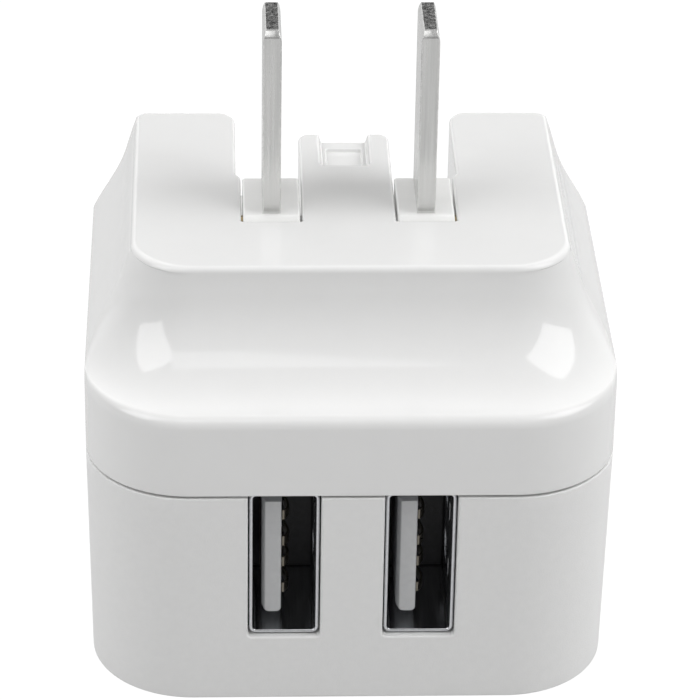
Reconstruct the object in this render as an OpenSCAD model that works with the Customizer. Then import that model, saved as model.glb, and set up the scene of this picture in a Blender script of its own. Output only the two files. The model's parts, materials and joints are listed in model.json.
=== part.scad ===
// Two-port USB wall charger with a pair of folding flat blades.
// The charger lies on its flat back: Z runs from the back face up through the
// wall-side face and the blades, Y runs from the socket face to the far end.
// Origin: centre of the footprint, on the back face. All sizes in millimetres.

/* [Body] */
// Width of the body, side to side
body_w = 43.2; // [34:0.1:56]
// Length of the body, socket face to far end
body_l = 37.4; // [30:0.1:50]
// Height of the lower edge of the sockets above the back face
socket_z = 6.25; // [5:0.05:9]
// Height of the upright band between the seam and the shoulder
band_h = 7.2; // [5:0.1:12]
// Height of the hump above the shoulder
hump_h = 8.95; // [7:0.05:12]
// Distance the hump steps back from the socket face
hump_front = 8.7; // [6:0.1:12]
// Distance the hump steps in from each side
hump_side = 4.0; // [2:0.1:6]
// Upright corner radius at the socket face
corner_r = 8.5; // [4:0.1:12]
// Corner radius of the wall-side face
hump_corner_r = 4.7; // [2:0.1:8]
// Wall thickness of both shells
wall = 1.8; // [1.2:0.1:2.2]

/* [Blades] */
// Distance between the middles of the two blades
blade_pitch = 12.7; // [12:0.1:15]
// Length of blade standing out of the wall-side face
blade_len = 16.3; // [14:0.1:18]
// Width of each blade
blade_w = 6.35; // [5:0.05:8]
// Thickness of each blade
blade_t = 1.5; // [1.2:0.1:2]
// Width of the well each blade folds into
well_w = 5.0; // [4.4:0.1:6]
// Depth of the pivot axis below the wall-side face
axis_drop = 1.9; // [1.8:0.05:2.6]
// Radius of the pivot pins and of the link bar
pin_r = 1.15; // [0.9:0.05:1.4]
// Running clearance around the pivot pins
pin_fit = 0.05; // [0.02:0.01:0.1]

/* [USB sockets] */
// Distance between the middles of the two sockets
port_pitch = 11.0; // [9:0.1:14]
// Outer width of a socket shell, across the short side
usb_w = 5.7; // [5:0.1:7]
// Outer height of a socket shell, along the long side
usb_h = 13.4; // [11:0.1:14]
// Depth of a socket shell
usb_len = 14.0; // [11:0.1:16]
// Sheet thickness of a socket shell
usb_t = 0.3; // [0.2:0.05:0.4]

/* [Circuit board] */
// Thickness of the board
pcb_t = 1.6; // [1:0.1:2]
// Diameter of the input capacitors
in_cap_d = 8.0; // [6:0.1:9]
// Height of the input capacitors
in_cap_h = 12.0; // [8:0.1:13]
// Diameter of the output capacitors
out_cap_d = 6.3; // [4:0.1:7]

/* [Hidden] */
$fn = 48;
e = 0.01;

front = -body_l / 2;
back = body_l / 2;
usb_top = socket_z + usb_h;
seam_z = usb_top;
shoulder_z = seam_z + band_h;
top_z = shoulder_z + hump_h;

// seam
seam_gap = 0.2;
lip_h = 1.2;
lip_t = wall - 1.05;
floor_t = wall;
draft = 0.25;
rear_r = 0.8;
base_r = 0.35;

// blades, rotor and wells
axis_z = top_z - axis_drop;
tip_gap = 0.15;
axis_y = back - tip_gap - blade_len - axis_drop;
blade_front = -axis_drop + 1.0;
blade_back = blade_front + blade_w;
block_back = blade_back + 0.15;
block_w = well_w - 0.3;
nose_r = 0.8;
well_front = axis_y - axis_drop - 0.25;
well_depth = axis_drop + block_back + 0.7;
well_in = blade_pitch / 2 - well_w / 2;
well_out = blade_pitch / 2 + well_w / 2;
well_flare = 0.4;
well_wall = 1.5;
cradle_out = well_out + well_wall;
cradle_z = top_z - well_depth - 1.2;
bridge_end = back - 4.4;
notch_w = well_in;
bore_r = pin_r + pin_fit;
pin_end = cradle_out + 2.25;
cam = pin_r + 0.15;
cam_reach = cam * sqrt(2);

// retainer under the cradle
retainer_t = 1.3;
retainer_z = cradle_z - retainer_t;
screw_x = cradle_out + 1.65;
screw_y = axis_y + 7.0;
spring_t = 0.3;
leaf_z = axis_z - pin_r - 0.04 - spring_t;
leaf_in = cradle_out + 0.45;
leaf_w = 1.6;
leg_y = axis_y + 3.0;
leg_end = retainer_z - 1.4;
detent_z = axis_z - cam_reach - 0.05 - spring_t;

// inside faces of the lower shell
in_x = body_w / 2 - wall;
in_y = body_l / 2 - wall;

// sockets and board
usb_bottom = socket_z;
usb_front = front + 0.65;
usb_back = usb_front + usb_len;
tongue_t = 1.6;
tongue_w = usb_h - 2.7;
tongue_x = -usb_w / 2 + usb_t + 0.75;
carrier_y = usb_len - 4.4;
pcb_top = usb_bottom;
pcb_z = pcb_top - pcb_t;
post_r = 1.4;
sheet_t = 0.3;

// parts on the board
tr_x = 3.0;
tr_w = 14.0;
tr_h = 12.4;
tr_y = (usb_back + in_y) / 2;
in_cap_x = -(in_x - in_cap_d / 2 - 0.6);
in_cap_y = [in_y - in_cap_d / 2 - 0.7, in_y - in_cap_d * 1.5 - 1.5];
out_cap_x = in_x - out_cap_d / 2 - 0.45;
out_cap_y = min(-in_y + 6.7, in_cap_y[1] - (in_cap_d + out_cap_d) / 2 - 0.4);
xcap_x = in_x - 3.2;
xcap_y = in_y - 5.4;
choke_x = in_x - 3.4;
choke_y = in_y - 13.7;
slim_x = -5.9;
wire_r = 0.6;
wire_y = (usb_back + tr_y - 5.8) / 2;
wire_z = leg_end - 1.4;
bank_y = (-in_y + 3.0 + usb_back - 1.5) / 2;

// where the round legs pass through the board
leg_spots = concat(
    [for (y = in_cap_y, s = [-1, 1]) [in_cap_x, y + 1.75 * s]],
    [for (a = [-1, 1], s = [-1, 1]) [a * out_cap_x + 1.25 * s, out_cap_y]],
    [for (s = [-1, 1], i = [-1.5:1:1.5]) [tr_x + 2.6 * i, tr_y + 4.8 * s]],
    [for (s = [-1, 1]) [xcap_x, xcap_y + 2.5 * s]],
    [for (s = [-1, 1]) [choke_x, choke_y + 1.25 * s]],
    [for (a = [-1, 1], s = [-1, 1]) [a * port_pitch / 2 + 1.3 * s, usb_back - 1.5]]
);
post_spots = concat(
    [for (s = [-1, 1]) [s * (in_x - 4.2), -in_y + 4.0]],
    [for (s = [-1, 1]) [s * (in_x - 1.9), in_y - 10.6]]
);

// ---------- shared shapes ----------

// points along a corner arc
function arc(cx, cy, r, a0, n) =
    [for (i = [0:n]) [cx + r * cos(a0 + 90 * i / n), cy + r * sin(a0 + 90 * i / n)]];

// one level ring [z, side inset, front inset, front radius, far-end inset]
function ring(p) =
    let (
        hw = body_w / 2 - p[1],
        yf = front + p[2],
        yb = back - p[4],
        rf = p[3],
        rb = rear_r,
        flat = concat(
            arc(hw - rf, yf + rf, rf, -90, 14),
            arc(hw - rb, yb - rb, rb, 0, 3),
            arc(-hw + rb, yb - rb, rb, 90, 3),
            arc(-hw + rf, yf + rf, rf, 180, 14)
        )
    )
    [for (q = flat) [q[0], q[1], p[0]]];

// closed solid through a list of rings, lowest first
module stack(levels) {
    rings = [for (p = levels) ring(p)];
    n = len(rings[0]);
    m = len(rings);
    polyhedron(
        points = [for (r = rings) each r],
        faces = concat(
            [[for (i = [0:n - 1]) i]],
            [[for (i = [n - 1:-1:0]) (m - 1) * n + i]],
            [for (k = [0:m - 2], i = [0:n - 1])
                [k * n + i, (k + 1) * n + i, (k + 1) * n + (i + 1) % n]],
            [for (k = [0:m - 2], i = [0:n - 1])
                [k * n + i, (k + 1) * n + (i + 1) % n, k * n + (i + 1) % n]]
        ),
        convexity = 6
    );
}

// flank of the hump: u runs from 1 at the shoulder to 0 at the wall-side face
function side_in(u) = hump_side * (1 - u + 0.11 * pow(sin(180 * u), 2));
function front_in(u) = hump_front * sqrt(max(0, 1 - u * u));
function hump_r(u) = hump_corner_r + (corner_r - hump_corner_r) * u;

shoulder_r = 1.0;
rim_r = 0.5;
u_low = sqrt(1 - pow(shoulder_r / hump_front, 2));
u_high = rim_r / hump_h;
flank = [for (i = [1:9]) sin(asin(u_low) + (asin(u_high) - asin(u_low)) * i / 9)];
low_z = top_z - hump_h * u_low;

outer_levels = concat(
    [[seam_z + seam_gap / 2, 0, 0, corner_r, 0]],
    [for (a = [0:22.5:90])
        [low_z - shoulder_r * (1 - sin(a)), side_in(u_low) * a / 90,
         shoulder_r * (1 - cos(a)), corner_r, 0]],
    [for (u = flank)
        [top_z - hump_h * u, side_in(u), front_in(u), hump_r(u), 0]],
    [for (a = [30:30:90])
        [top_z - rim_r * (1 - sin(a)), side_in(u_high) + rim_r * (1 - cos(a)),
         front_in(u_high) + rim_r * (1 - cos(a)), hump_corner_r, rim_r * (1 - cos(a))]]
);
inner_levels = concat(
    [[seam_z - 1, wall, wall, corner_r - wall, wall]],
    [[low_z - wall, wall, wall, corner_r - wall, wall]],
    [for (i = [0:2:8])
        [top_z - hump_h * flank[i] - wall, side_in(flank[i]) + wall,
         front_in(flank[i]) + wall, max(hump_r(flank[i]) - wall, rear_r), wall]]
);
base_levels = concat(
    [for (a = [0:30:90])
        [base_r * (1 - cos(a)), draft + base_r * (1 - sin(a)),
         draft + base_r * (1 - sin(a)), corner_r, draft + base_r * (1 - sin(a))]],
    [[seam_z - seam_gap / 2, 0, 0, corner_r, 0]]
);

// plan outline of the body drawn in by an inset
module plan(inset) {
    w = body_w / 2 - inset;
    r = corner_r - inset;
    yf = front + inset;
    yb = back - inset;
    translate([-w, yf + r]) square([2 * w, yb - yf - r]);
    translate([-w + r, yf]) square([2 * (w - r), r + e]);
    for (s = [-1, 1]) translate([s * (w - r), yf + r]) circle(r);
}

// box given by its two opposite corners
module block(a, b) {
    translate(a) cube([b[0] - a[0], b[1] - a[1], b[2] - a[2]]);
}

// rectangle with round corners, centred
module soft_square(w, l, r) {
    square([w - 2 * r, l], center = true);
    square([w, l - 2 * r], center = true);
    for (x = [-1, 1], y = [-1, 1])
        translate([x * (w / 2 - r), y * (l / 2 - r)]) circle(r);
}

// profile drawn in the Y-Z plane about the pivot axis, stretched along X
module along_x(x0, x1) {
    translate([x0, axis_y, axis_z]) rotate([90, 0, 90]) linear_extrude(x1 - x0) children();
}

// rounded corner of a wire path at c, between points a and b
function bend(a, c, b, k) =
    let (
        p = c + k * (a - c) / norm(a - c),
        q = c + k * (b - c) / norm(b - c)
    )
    [for (t = [0:0.25:1]) (1 - t) * (1 - t) * p + 2 * t * (1 - t) * c + t * t * q];

// round wire swept through a list of points; side is never along the wire
module wire(path, r, side) {
    n = 12;
    m = len(path);
    rings = [for (k = [0:m - 1])
        let (
            t = path[min(k + 1, m - 1)] - path[max(k - 1, 0)],
            u = cross(t, side) / norm(cross(t, side)),
            v = cross(t, u) / norm(t)
        )
        [for (i = [0:n - 1]) path[k] + r * (cos(360 * i / n) * u + sin(360 * i / n) * v)]];
    polyhedron(
        points = [for (g = rings) each g],
        faces = concat(
            [[for (i = [n - 1:-1:0]) i]],
            [[for (i = [0:n - 1]) (m - 1) * n + i]],
            [for (k = [0:m - 2], i = [0:n - 1])
                [k * n + i, k * n + (i + 1) % n, (k + 1) * n + (i + 1) % n]],
            [for (k = [0:m - 2], i = [0:n - 1])
                [k * n + i, (k + 1) * n + (i + 1) % n, (k + 1) * n + i]]
        )
    );
}

// ---------- shells ----------

module top_shell() color("#f7f7f5") difference() {
    union() {
        difference() {
            stack(outer_levels);
            stack(inner_levels);
        }
        // cradle holding both wells and the bridge between them
        block([-cradle_out, well_front - well_wall, cradle_z], [cradle_out, back - 0.8, top_z - 0.8]);
        // screw bosses for the retainer
        for (s = [-1, 1])
            translate([s * screw_x, screw_y, cradle_z]) cylinder(h = top_z - 0.8 - cradle_z, r = 1.8);
    }
    // wells, a little wider beyond the rotor blocks
    for (s = [0, 1]) mirror([s, 0, 0]) {
        block([well_in, well_front, top_z - well_depth], [well_out, back + 1, top_z + 1]);
        block([well_in, axis_y + block_back + 0.6, top_z - well_depth],
              [well_out + well_flare, back + 1, top_z + 1]);
        // rounded far corner of the lobe
        difference() {
            block([well_out, back - 2, top_z - well_depth],
                  [well_out + well_flare + 2, back + 1, top_z + 1]);
            translate([well_out + well_flare + 2, back - 2, 0]) cylinder(h = top_z + 2, r = 2);
        }
        // outer saddle channel
        block([well_out - e, axis_y - bore_r, cradle_z - 1], [cradle_out + 1, axis_y + bore_r, axis_z]);
        // pilot hole
        translate([screw_x, screw_y, cradle_z - 1]) cylinder(h = 6, r = 0.75);
    }
    // far end of the bridge, with the adapter latch notch
    block([-well_in - e, bridge_end, top_z - well_depth], [well_in + e, back + 1, top_z + 1]);
    translate([0, back, top_z]) rotate([90, 0, 0]) linear_extrude(back - bridge_end + 5.7)
        polygon([[-notch_w / 2, -0.9], [notch_w / 2, -0.9], [notch_w / 2 + 0.3, 0],
                 [notch_w / 2 + 0.3, 1], [-notch_w / 2 - 0.3, 1], [-notch_w / 2 - 0.3, 0]]);
    block([-1.5, bridge_end - 4.2, top_z - 1.25], [1.5, bridge_end - 1.1, top_z]);
    // link bar saddle and detent chamber inside the bridge
    block([-well_in - e, axis_y - bore_r, cradle_z - 1], [well_in + e, axis_y + bore_r, axis_z]);
    block([-2.4, well_front, cradle_z - 1], [2.4, axis_y + 5.4, axis_z - 1.7]);
    block([-2.4, well_front, axis_z - 2], [2.4, axis_y + 2.25, axis_z]);
    // pivot bores
    translate([-pin_end - 0.3, axis_y, axis_z]) rotate([0, 90, 0])
        cylinder(h = 2 * pin_end + 0.6, r = bore_r);
    // rebate that takes the lip of the lower shell
    translate([0, 0, seam_z - 1]) linear_extrude(1 + lip_h + 0.05) plan(1.0);
}

module bottom_shell() color("#ececea") difference() {
    union() {
        difference() {
            stack(base_levels);
            translate([0, 0, floor_t]) linear_extrude(seam_z) plan(wall);
        }
        // lip inside the upper shell
        translate([0, 0, seam_z - 1]) linear_extrude(1 + lip_h) difference() {
            plan(1.05);
            plan(wall);
        }
        // board posts with locating spigots
        for (p = post_spots) translate([p[0], p[1], floor_t - 0.5]) {
            cylinder(h = pcb_z - floor_t + 0.5, r = post_r);
            cylinder(h = pcb_z - floor_t + 0.5 + pcb_t - 0.2, r = 0.8);
        }
        // ledge under the far edge of the board
        block([-6, in_y - 0.9, floor_t - 0.5], [6, in_y + 0.5, pcb_z]);
    }
    // socket cut-outs, open to the seam
    for (s = [-1, 1])
        block([s * port_pitch / 2 - usb_w / 2 - 0.1, front - 1, usb_bottom - 0.1],
              [s * port_pitch / 2 + usb_w / 2 + 0.1, front + wall + 0.1, seam_z + lip_h + 1]);
}

// ---------- folding blades ----------

module prong_rotor() color("#f4f4f2") difference() {
    union() {
        for (s = [-1, 1])
            along_x(s * blade_pitch / 2 - block_w / 2, s * blade_pitch / 2 + block_w / 2) {
                circle(axis_drop);
                translate([-axis_drop, 0]) square([axis_drop, axis_drop - nose_r]);
                translate([-axis_drop + nose_r, 0]) square([axis_drop - nose_r, axis_drop]);
                translate([-axis_drop + nose_r, axis_drop - nose_r]) circle(nose_r);
                translate([0, -axis_drop]) square([block_back - 1.5, 2 * axis_drop]);
                translate([0, -axis_drop + 1.5]) square([block_back, 2 * axis_drop - 1.5]);
                translate([block_back - 1.5, -axis_drop + 1.5]) circle(1.5);
            }
        along_x(-well_in - 0.3, well_in + 0.3) circle(pin_r);
        // detent cam in the middle of the link bar
        along_x(-1.6, 1.6) translate([0, -cam]) square([cam, cam]);
    }
    for (s = [0, 1]) mirror([s, 0, 0]) {
        translate([blade_pitch / 2, axis_y, axis_z]) blade_blank();
        translate([blade_pitch / 2, axis_y, axis_z]) rotate([0, 90, 0]) cylinder(h = well_w, r = pin_r);
    }
}

// straight blade stock seated in the rotor, standing on the pivot axis
module blade_blank() {
    block([-blade_t / 2, blade_front, -axis_drop + 0.5],
          [blade_t / 2, blade_back, axis_drop + blade_len - 2]);
}

module blade(s) color("#b9bbbd") translate([s * blade_pitch / 2, axis_y, axis_z])
    difference() {
        intersection() {
            // face view: chamfered end corners
            translate([-blade_t / 2, 0, 0]) rotate([90, 0, 90]) linear_extrude(blade_t)
                polygon([
                    [blade_front, -axis_drop + 0.5], [blade_back, -axis_drop + 0.5],
                    [blade_back, axis_drop + blade_len - 0.5],
                    [blade_back - 0.45, axis_drop + blade_len],
                    [blade_front + 0.45, axis_drop + blade_len],
                    [blade_front, axis_drop + blade_len - 0.5]
                ]);
            // edge view: bevelled end
            translate([0, blade_back + 1, 0]) rotate([90, 0, 0]) linear_extrude(blade_w + 2)
                polygon([
                    [-blade_t / 2, -axis_drop], [blade_t / 2, -axis_drop],
                    [blade_t / 2, axis_drop + blade_len - 0.9],
                    [blade_t / 2 - 0.3, axis_drop + blade_len],
                    [-blade_t / 2 + 0.3, axis_drop + blade_len],
                    [-blade_t / 2, axis_drop + blade_len - 0.9]
                ]);
        }
        translate([-blade_t, 0, 0]) rotate([0, 90, 0]) cylinder(h = 2 * blade_t, r = 0.6);
    }

module blade_left() blade(-1);
module blade_right() blade(1);

// brass pivot pin: spigot in the blade, body in the rotor and saddle
module trunnion_pin(s) color("#c8a24a") mirror([s < 0 ? 1 : 0, 0, 0])
    translate([0, axis_y, axis_z]) rotate([0, 90, 0]) {
        translate([0, 0, blade_pitch / 2 + blade_t / 2])
            cylinder(h = pin_end - blade_pitch / 2 - blade_t / 2, r = pin_r);
        translate([0, 0, blade_pitch / 2 - blade_t / 2]) cylinder(h = blade_t + 0.5, r = 0.6);
    }

module trunnion_pin_left() trunnion_pin(-1);
module trunnion_pin_right() trunnion_pin(1);

module rotor_retainer() color("#dcdcd6") difference() {
    union() {
        block([-cradle_out, well_front, retainer_z], [cradle_out, axis_y + 6.5, cradle_z]);
        for (s = [0, 1]) mirror([s, 0, 0]) {
            // side wing with the screw seat
            block([cradle_out - 1, axis_y + 2.2, retainer_z], [screw_x + 1.9, screw_y + 1.9, cradle_z]);
            // fingers closing the saddles from below
            block([well_out + 0.1, axis_y - pin_r + 0.05, retainer_z],
                  [cradle_out - 0.1, axis_y + pin_r - 0.05, axis_z]);
            block([2.5, axis_y - pin_r + 0.05, retainer_z],
                  [well_in - 0.1, axis_y + pin_r - 0.05, axis_z]);
        }
        // post under the fixed end of the detent leaf
        block([-1.8, axis_y + 3.4, retainer_z], [1.8, axis_y + 5.0, detent_z]);
    }
    translate([-cradle_out - 1, axis_y, axis_z]) rotate([0, 90, 0])
        cylinder(h = 2 * cradle_out + 2, r = bore_r);
    for (s = [0, 1]) mirror([s, 0, 0]) {
        translate([screw_x, screw_y, retainer_z - 1]) cylinder(h = retainer_t + 2, r = 1.0);
        // slot gripping the contact spring leg
        block([leaf_in, leg_y, retainer_z - 1], [leaf_in + leaf_w, leg_y + spring_t, cradle_z + 1]);
    }
}

module retainer_screws() color("#8f9296")
    for (s = [0, 1]) mirror([s, 0, 0]) translate([screw_x, screw_y, retainer_z]) difference() {
        union() {
            cylinder(h = retainer_t + 4.5, r = 0.75);
            translate([0, 0, -1.1]) cylinder(h = 1.1, r = 1.6);
        }
        for (a = [0, 90]) rotate(a)
            block([-1.0, -0.2, -1.2], [1.0, 0.2, -0.6]);
    }

// steel leaf under the cam, fixed at its far end
module detent_spring() color("#9a9da0")
    block([-1.8, axis_y - 1.9, detent_z], [1.8, axis_y + 5.0, detent_z + spring_t]);

// brass leaf wiping the pivot pin, with a leg through the retainer
module contact_spring(s) color("#c9a552") mirror([s < 0 ? 1 : 0, 0, 0]) {
    block([leaf_in, axis_y - 2.4, leaf_z], [leaf_in + leaf_w, leg_y + spring_t, leaf_z + spring_t]);
    block([leaf_in, leg_y, leg_end], [leaf_in + leaf_w, leg_y + spring_t, leaf_z + spring_t]);
}

module contact_spring_left() contact_spring(-1);
module contact_spring_right() contact_spring(1);

// insulated lead from a contact spring down to the board
module lead(s) {
    a = [s * (leaf_in + leaf_w / 2), leg_y + spring_t / 2, leg_end];
    b = [a[0], a[1], wire_z];
    c = [s * 3.0, wire_y, wire_z - 0.2];
    d = [c[0], c[1], pcb_top];
    wire(concat([a], bend(a, b, c, 1.2), bend(b, c, d, 1.2), [d]), wire_r, [s, -1, 0]);
}

module lead_live() color("#2b2b2b") lead(1);
module lead_neutral() color("#e6e6e6") lead(-1);

// ---------- sockets ----------

module at_port(s) {
    translate([s * port_pitch / 2, usb_front, usb_bottom]) children();
}

module usb_shell() color("#b4b7ba") difference() {
    block([-usb_w / 2, 0, 0], [usb_w / 2, usb_len, usb_h]);
    block([-usb_w / 2 + usb_t, -1, usb_t], [usb_w / 2 - usb_t, usb_len - usb_t, usb_h - usb_t]);
    // spring windows in both broad faces
    for (z = [usb_h * 0.3, usb_h * 0.7])
        block([-usb_w, 3.2, z - 1.1], [usb_w, 8.0, z + 1.1]);
    // open bottom of the rear, where the contact tails pass
    block([-usb_w / 2 + 1, usb_len - 2.6, -1], [usb_w / 2 - 1, usb_len - 0.6, usb_t + 1]);
}

// tongue near the inner wall, contacts on its open side
module usb_insulator() color("#d5d7d8")
    translate([tongue_x, 0, (usb_h - tongue_w) / 2]) {
        translate([0, 1.8, 0]) cube([tongue_t, carrier_y - 1.8, tongue_w]);
        linear_extrude(tongue_w)
            polygon([[0.35, 1.0], [tongue_t - 0.15, 1.0], [tongue_t, 1.8 + e], [0, 1.8 + e]]);
    }

// dark rear block that closes the shell and holds the tongue
module usb_carrier() color("#1b1b1d")
    block([-usb_w / 2 + usb_t, carrier_y, usb_t], [usb_w / 2 - usb_t, usb_len - usb_t, usb_h - usb_t]);

// bowed leaves standing off the tongue
module usb_contacts() color("#d0ae55")
    for (z = [-3.5, -1.0, 1.0, 3.5])
        translate([tongue_x + tongue_t, 0, usb_h / 2 + z - 0.5]) linear_extrude(1.0)
            polygon([
                [0, 1.9], [0.45, 2.2], [0.75, 2.8], [0.6, 3.7], [0.25, 4.9],
                [0.25, carrier_y], [0, carrier_y]
            ]);

module usb_shell_left() at_port(-1) usb_shell();
module usb_shell_right() at_port(1) usb_shell();
module usb_insulator_left() at_port(-1) usb_insulator();
module usb_insulator_right() at_port(1) usb_insulator();
module usb_carrier_left() at_port(-1) usb_carrier();
module usb_carrier_right() at_port(1) usb_carrier();
module usb_contacts_left() at_port(-1) usb_contacts();
module usb_contacts_right() at_port(1) usb_contacts();

// ---------- circuit board and its parts ----------

module main_pcb() color("#2f6b45") difference() {
    translate([0, 0, pcb_z]) linear_extrude(pcb_t) plan(wall + 0.25);
    for (p = leg_spots) translate([p[0], p[1], pcb_z - 1]) cylinder(h = pcb_t + 2, r = 0.4, $fn = 24);
    for (p = post_spots) translate([p[0], p[1], pcb_z - 1]) cylinder(h = pcb_t + 2, r = 0.85);
}

// tinned legs of the parts, through the board
module component_pins() color("#c4c6c8")
    for (p = leg_spots) translate([p[0], p[1], pcb_z - 0.8]) cylinder(h = pcb_t + 0.8, r = 0.35, $fn = 24);

module transformer_core() color("#3a3a3c") translate([tr_x, tr_y, pcb_top]) difference() {
    block([-tr_w / 2, -2.2, 1.0], [tr_w / 2, 2.2, tr_h]);
    for (s = [0, 1]) mirror([s, 0, 0])
        block([2.2, -3, 2.8], [5.2, 3, tr_h - 1.8]);
}

module transformer_bobbin() color("#26262a") translate([tr_x, tr_y, pcb_top]) difference() {
    union() {
        block([-2.7, -2.7, 2.8], [2.7, 2.7, tr_h - 1.8]);
        for (z = [2.8, tr_h - 2.6])
            block([-5.1, -5.8, z], [5.1, 5.8, z + 0.8]);
        // rails carrying the legs
        for (y = [-5.8, 3.0])
            block([-5.1, y, 0], [5.1, y + 2.8, 2.8 + e]);
    }
    block([-2.2, -2.2, 0], [2.2, 2.2, tr_h]);
}

module transformer_winding() color("#c79a2c") translate([tr_x, tr_y, pcb_top + 3.6])
    linear_extrude(tr_h - 6.2) difference() {
        soft_square(9.8, 10.4, 1.6);
        square(5.4, center = true);
    }

// can with a crimped neck and a vented top
module can(d, h) {
    r = d / 2;
    rotate_extrude()
        polygon([
            [0, 0], [r - 0.3, 0], [r, 0.3], [r, 1.1], [r - 0.4, 1.4], [r - 0.4, 1.7], [r, 2.0],
            [r, h - 0.4], [r - 0.4, h], [0, h]
        ]);
}

module input_capacitors() color("#23304a")
    for (y = in_cap_y) translate([in_cap_x, y, pcb_top]) can(in_cap_d, in_cap_h);

module output_capacitors() color("#3c2f57")
    for (s = [-1, 1]) translate([s * out_cap_x, out_cap_y, pcb_top]) can(out_cap_d, 9.0);

module choke_core() color("#444446") translate([choke_x, choke_y, pcb_top])
    rotate_extrude()
        polygon([[0, 0], [2.9, 0], [2.9, 1.1], [1.4, 1.1], [1.4, 6.9], [2.9, 6.9], [2.9, 8], [0, 8]]);

module choke_winding() color("#b8702c") translate([choke_x, choke_y, pcb_top + 1.1])
    difference() {
        cylinder(h = 5.8, r = 2.6);
        translate([0, 0, -1]) cylinder(h = 8, r = 1.4);
    }

module x_capacitor() color("#d8b23a") translate([xcap_x, xcap_y, pcb_top])
    linear_extrude(9) soft_square(5, 10, 0.6);

module y_capacitor() color("#3f7fae") translate([slim_x - 1.1, tr_y + 2.6, pcb_top + 3])
    rotate([0, 90, 0]) cylinder(h = 2.2, r = 3);

module fuse() color("#7a5a3a") translate([slim_x, tr_y - 3.4, pcb_top]) {
    cylinder(h = 7, r = 1.05);
    for (z = [0, 5.6]) translate([0, 0, z]) cylinder(h = 1.4, r = 1.2);
}

// flat package hanging under the board, with feet along two sides
module chip(w, l, h, n) {
    block([-w / 2, -l / 2, -h], [w / 2, l / 2, -0.1]);
    for (i = [0:n - 1], s = [-1, 1])
        block([-w / 2 + (i + 0.5) * w / n - 0.2, s > 0 ? l / 2 - 0.2 : -l / 2 - 0.7, -0.35],
              [-w / 2 + (i + 0.5) * w / n + 0.2, s > 0 ? l / 2 + 0.7 : -l / 2 + 0.2, 0]);
}

module bridge_rectifier() color("#1f1f21") translate([tr_x - 3.4, tr_y, pcb_z]) chip(4.7, 3.8, 1.5, 2);
module controller_chip() color("#1c1c1e") translate([tr_x + 3.4, tr_y, pcb_z]) chip(4.9, 3.9, 1.6, 4);
module optocoupler() color("#e8e8e4") translate([-6.9, tr_y, pcb_z]) chip(3.6, 3.0, 1.6, 2);
module output_diode() color("#222224") translate([-5.2, bank_y, pcb_z]) chip(4.2, 3.2, 1.6, 1);
module charging_chip() color("#1d1d1f") translate([5.2, bank_y, pcb_z]) chip(4.9, 3.2, 1.5, 4);

module chip_resistors() color("#2a2a2c")
    for (x = [-6:3:6]) translate([x, -in_y + 1.9, pcb_z])
        block([-1.0, -0.6, -0.55], [1.0, 0.6, 0]);

module insulating_sheet() color("#f0e9d2")
    block([-in_x + 6.2, -in_y + 1, floor_t], [in_x - 6.2, in_y - 1.1, floor_t + sheet_t]);

// ---------- nodes ----------

top_shell();
bottom_shell();
prong_rotor();
blade_left();
blade_right();
trunnion_pin_left();
trunnion_pin_right();
rotor_retainer();
retainer_screws();
detent_spring();
contact_spring_left();
contact_spring_right();
lead_live();
lead_neutral();
usb_shell_left();
usb_shell_right();
usb_insulator_left();
usb_insulator_right();
usb_carrier_left();
usb_carrier_right();
usb_contacts_left();
usb_contacts_right();
main_pcb();
component_pins();
transformer_core();
transformer_bobbin();
transformer_winding();
input_capacitors();
output_capacitors();
choke_core();
choke_winding();
x_capacitor();
y_capacitor();
fuse();
bridge_rectifier();
controller_chip();
optocoupler();
output_diode();
charging_chip();
chip_resistors();
insulating_sheet();
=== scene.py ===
"""USB wall charger with folding blades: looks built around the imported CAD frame."""

import json
import math

import bmesh
import bpy
from mathutils import Matrix, Vector


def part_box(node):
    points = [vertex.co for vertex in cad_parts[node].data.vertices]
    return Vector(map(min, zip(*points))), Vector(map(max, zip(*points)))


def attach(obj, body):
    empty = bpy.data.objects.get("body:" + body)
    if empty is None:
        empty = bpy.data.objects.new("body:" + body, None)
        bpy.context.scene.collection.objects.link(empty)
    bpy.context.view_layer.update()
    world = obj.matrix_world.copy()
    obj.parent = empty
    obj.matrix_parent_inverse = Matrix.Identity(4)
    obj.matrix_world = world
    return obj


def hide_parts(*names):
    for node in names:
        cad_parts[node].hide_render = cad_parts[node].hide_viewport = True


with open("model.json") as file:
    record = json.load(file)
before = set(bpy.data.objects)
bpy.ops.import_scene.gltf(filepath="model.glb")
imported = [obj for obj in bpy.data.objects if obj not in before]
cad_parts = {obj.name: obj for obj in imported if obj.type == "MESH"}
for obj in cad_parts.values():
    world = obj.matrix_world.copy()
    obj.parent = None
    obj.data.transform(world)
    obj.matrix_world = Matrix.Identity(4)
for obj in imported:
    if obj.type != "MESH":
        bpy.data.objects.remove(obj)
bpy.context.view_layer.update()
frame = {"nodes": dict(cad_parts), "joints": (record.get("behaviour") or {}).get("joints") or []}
scene = bpy.context.scene

# ---------- sizes in millimetres, measured from the CAD frame ----------


def box_mm(node):
    lo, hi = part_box(node)
    return [c * 1000 for c in lo], [c * 1000 for c in hi]


top_lo, top_hi = box_mm("top_shell")
usb_lo, usb_hi = box_mm("usb_shell_right")
blade_lo, blade_hi = box_mm("blade_right")
rotor_lo, rotor_hi = box_mm("prong_rotor")

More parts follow.
